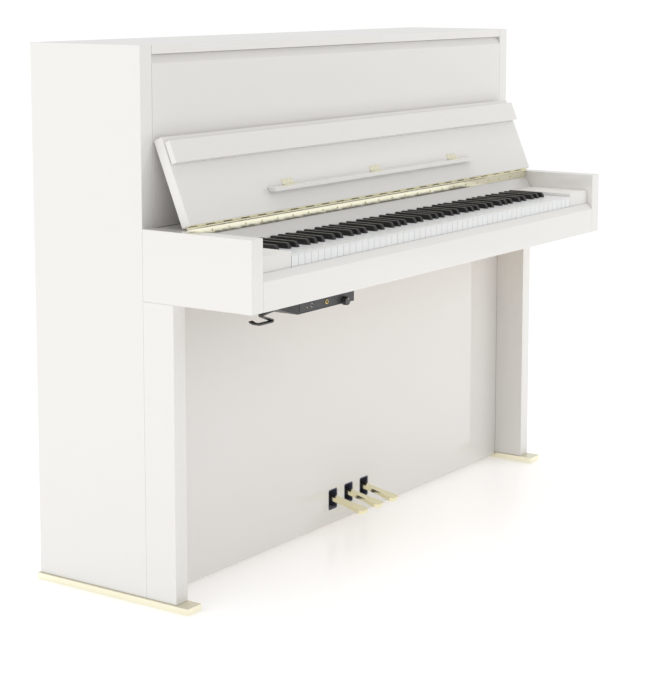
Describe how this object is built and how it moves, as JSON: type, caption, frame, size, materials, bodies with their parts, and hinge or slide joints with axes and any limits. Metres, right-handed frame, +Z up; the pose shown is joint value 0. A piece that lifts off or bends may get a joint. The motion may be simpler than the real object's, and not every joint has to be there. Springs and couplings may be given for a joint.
{
  "type": "upright piano",
  "caption": "White gloss upright piano with open folding fallboard, brass pedals and base strips, and a silent-play unit under the key bed.",
  "frame": {"origin": "on the floor under the middle of the piano's width and depth", "axes": "+X along the keyboard towards the treble end, +Y from the player towards the back of the case, +Z up"},
  "size_m": [1.526, 0.593, 1.178],
  "materials": {
    "white_lacquer": "white high-gloss polyester lacquer on board",
    "polished_brass": "polished pale brass",
    "white_key": "white acrylic covered spruce, satin to gloss",
    "black_key": "black gloss covered wood",
    "spruce": "plain spruce",
    "frame_timber": "plain beech and pine",
    "gold_iron": "gold bronzed cast iron",
    "steel_wire": "bright steel",
    "action_metal": "grey metal",
    "hammer_felt": "wood shanks with wool felt heads",
    "red_felt": "red wool felt on wood",
    "navy_felt": "dark navy wool felt",
    "dark_plastic": "dark grey moulded plastic",
    "black_metal": "black painted steel"
  },
  "bodies": {
    "case": {"side_left": "white_lacquer", "side_right": "white_lacquer", "arm_left": "white_lacquer", "arm_right": "white_lacquer", "leg_left": "white_lacquer", "leg_right": "white_lacquer", "base_strip_left": "polished_brass", "base_strip_right": "polished_brass", "bottom_board": "frame_timber", "lower_panel": "white_lacquer", "upper_panel": "white_lacquer", "lid_hinge_fixed_leaf": "polished_brass", "key_bed": "spruce", "key_slip": "white_lacquer", "key_blocks": "white_lacquer", "name_board": "white_lacquer", "fallboard_hinge_fixed_leaf": "polished_brass", "hinge_screws": "polished_brass", "key_frame": "spruce", "back_frame": "frame_timber", "pin_block": "frame_timber", "iron_plate": "gold_iron", "soundboard": "spruce", "ribs_and_bridge": "spruce", "strings": "steel_wire", "tuning_pins": "steel_wire", "action_rails": "action_metal", "slot_felts": "navy_felt", "pedal_bracket": "action_metal", "control_box": "dark_plastic", "headphone_hook": "black_metal"},
    "lid": {"top_lid": "white_lacquer", "lid_hinge_moving_leaf": "polished_brass"},
    "fallboard": {"fallboard": "white_lacquer", "fallboard_hinge_moving_leaf": "polished_brass", "lip_hinges": "polished_brass", "ledge_hinge_fixed_leaves": "polished_brass"},
    "lip": {"fallboard_lip": "white_lacquer"},
    "ledge": {"music_ledge": "white_lacquer", "ledge_hinge_moving_leaves": "polished_brass"},
    "hammer_line": {"hammers": "hammer_felt", "hammer_rest_rail": "red_felt"},
    "damper_line": {"dampers": "red_felt"},
    "muffler": {"muffler_felt": "red_felt"},
    "left_pedal": {"pedal_left": "polished_brass"},
    "middle_pedal": {"pedal_middle": "polished_brass"},
    "right_pedal": {"pedal_right": "polished_brass"},
    "knob": {"volume_knob": "dark_plastic"},
    "keys_a_set": {"keys_a": "white_key"},
    "keys_b_set": {"keys_b": "white_key"},
    "keys_c_set": {"keys_c": "white_key"},
    "keys_d_set": {"keys_d": "white_key"},
    "keys_e_set": {"keys_e": "white_key"},
    "keys_f_set": {"keys_f": "white_key"},
    "keys_g_set": {"keys_g": "white_key"},
    "keys_a_sharp_set": {"keys_a_sharp": "black_key"},
    "keys_c_sharp_set": {"keys_c_sharp": "black_key"},
    "keys_d_sharp_set": {"keys_d_sharp": "black_key"},
    "keys_f_sharp_set": {"keys_f_sharp": "black_key"},
    "keys_g_sharp_set": {"keys_g_sharp": "black_key"}
  },
  "joints": [
    {"name": "lid_lift", "type": "hinge", "parent": "case", "child": "lid", "pos_m": [0, 0.294, 1.1564], "axis": [-1, 0, 0], "range_deg": [0, 100]},
    {"name": "fallboard_close", "type": "hinge", "parent": "case", "child": "fallboard", "pos_m": [0, -0.101, 0.8035], "axis": [1, 0, 0], "range_deg": [0, 115]},
    {"name": "lip_unfold", "type": "hinge", "parent": "fallboard", "child": "lip", "pos_m": [0, -0.04093, 0.97778], "axis": [-1, 0, 0], "range_deg": [0, 90]},
    {"name": "ledge_fold", "type": "hinge", "parent": "fallboard", "child": "ledge", "pos_m": [0, -0.08968, 0.86376], "axis": [-1, 0, 0], "range_deg": [0, 110]},
    {"name": "keys_a_press", "type": "hinge", "parent": "case", "child": "keys_a_set", "pos_m": [0, -0.0635, 0.729], "axis": [1, 0, 0], "range_deg": [0, 2.5], "stiffness_Nm_per_rad": 9, "springref_deg": -9.74},
    {"name": "keys_b_press", "type": "hinge", "parent": "case", "child": "keys_b_set", "pos_m": [0, -0.0635, 0.729], "axis": [1, 0, 0], "range_deg": [0, 2.5], "stiffness_Nm_per_rad": 9, "springref_deg": -9.74},
    {"name": "keys_c_press", "type": "hinge", "parent": "case", "child": "keys_c_set", "pos_m": [0, -0.0635, 0.729], "axis": [1, 0, 0], "range_deg": [0, 2.5], "stiffness_Nm_per_rad": 9, "springref_deg": -9.74},
    {"name": "keys_d_press", "type": "hinge", "parent": "case", "child": "keys_d_set", "pos_m": [0, -0.0635, 0.729], "axis": [1, 0, 0], "range_deg": [0, 2.5], "stiffness_Nm_per_rad": 9, "springref_deg": -9.74},
    {"name": "keys_e_press", "type": "hinge", "parent": "case", "child": "keys_e_set", "pos_m": [0, -0.0635, 0.729], "axis": [1, 0, 0], "range_deg": [0, 2.5], "stiffness_Nm_per_rad": 9, "springref_deg": -9.74},
    {"name": "keys_f_press", "type": "hinge", "parent": "case", "child": "keys_f_set", "pos_m": [0, -0.0635, 0.729], "axis": [1, 0, 0], "range_deg": [0, 2.5], "stiffness_Nm_per_rad": 9, "springref_deg": -9.74},
    {"name": "keys_g_press", "type": "hinge", "parent": "case", "child": "keys_g_set", "pos_m": [0, -0.0635, 0.729], "axis": [1, 0, 0], "range_deg": [0, 2.5], "stiffness_Nm_per_rad": 9, "springref_deg": -9.74},
    {"name": "keys_a_sharp_press", "type": "hinge", "parent": "case", "child": "keys_a_sharp_set", "pos_m": [0, -0.0635, 0.729], "axis": [1, 0, 0], "range_deg": [0, 2.5], "stiffness_Nm_per_rad": 9, "springref_deg": -9.74},
    {"name": "keys_c_sharp_press", "type": "hinge", "parent": "case", "child": "keys_c_sharp_set", "pos_m": [0, -0.0635, 0.729], "axis": [1, 0, 0], "range_deg": [0, 2.5], "stiffness_Nm_per_rad": 9, "springref_deg": -9.74},
    {"name": "keys_d_sharp_press", "type": "hinge", "parent": "case", "child": "keys_d_sharp_set", "pos_m": [0, -0.0635, 0.729], "axis": [1, 0, 0], "range_deg": [0, 2.5], "stiffness_Nm_per_rad": 9, "springref_deg": -9.74},
    {"name": "keys_f_sharp_press", "type": "hinge", "parent": "case", "child": "keys_f_sharp_set", "pos_m": [0, -0.0635, 0.729], "axis": [1, 0, 0], "range_deg": [0, 2.5], "stiffness_Nm_per_rad": 9, "springref_deg": -9.74},
    {"name": "keys_g_sharp_press", "type": "hinge", "parent": "case", "child": "keys_g_sharp_set", "pos_m": [0, -0.0635, 0.729], "axis": [1, 0, 0], "range_deg": [0, 2.5], "stiffness_Nm_per_rad": 9, "springref_deg": -9.74},
    {"name": "left_pedal_press", "type": "hinge", "parent": "case", "child": "left_pedal", "pos_m": [-0.067, 0.0485, 0.084], "axis": [1, 0, 0], "range_deg": [0, 5.5], "stiffness_Nm_per_rad": 18, "springref_deg": -3.44},
    {"name": "middle_pedal_press", "type": "hinge", "parent": "case", "child": "middle_pedal", "pos_m": [0, 0.0485, 0.084], "axis": [1, 0, 0], "range_deg": [0, 5.5], "stiffness_Nm_per_rad": 18, "springref_deg": -3.44},
    {"name": "right_pedal_press", "type": "hinge", "parent": "case", "child": "right_pedal", "pos_m": [0.067, 0.0485, 0.084], "axis": [1, 0, 0], "range_deg": [0, 5.5], "stiffness_Nm_per_rad": 18, "springref_deg": -3.44},
    {"name": "hammer_line_forward", "type": "hinge", "parent": "case", "child": "hammer_line", "pos_m": [0, 0.0945, 0.9], "axis": [-1, 0, 0], "range_deg": [0, 8]},
    {"name": "damper_lift", "type": "hinge", "parent": "case", "child": "damper_line", "pos_m": [0, 0.1365, 0.9], "axis": [1, 0, 0], "range_deg": [0, 5.5]},
    {"name": "muffler_drop", "type": "slide", "parent": "case", "child": "muffler", "axis": [0, 0, -1], "range_m": [0, 0.035]},
    {"name": "volume_turn", "type": "hinge", "parent": "case", "child": "knob", "pos_m": [-0.405, -0.2745, 0.628], "axis": [0, -1, 0], "range_deg": [0, 300]}
  ],
  "couplings": [
    {"joint": "hammer_line_forward", "follows": "left_pedal_press", "ratio": 1.4545},
    {"joint": "damper_lift", "follows": "right_pedal_press", "ratio": 1},
    {"joint": "muffler_drop", "follows": "middle_pedal_press", "m_per_rad": 0.36461}
  ]
}
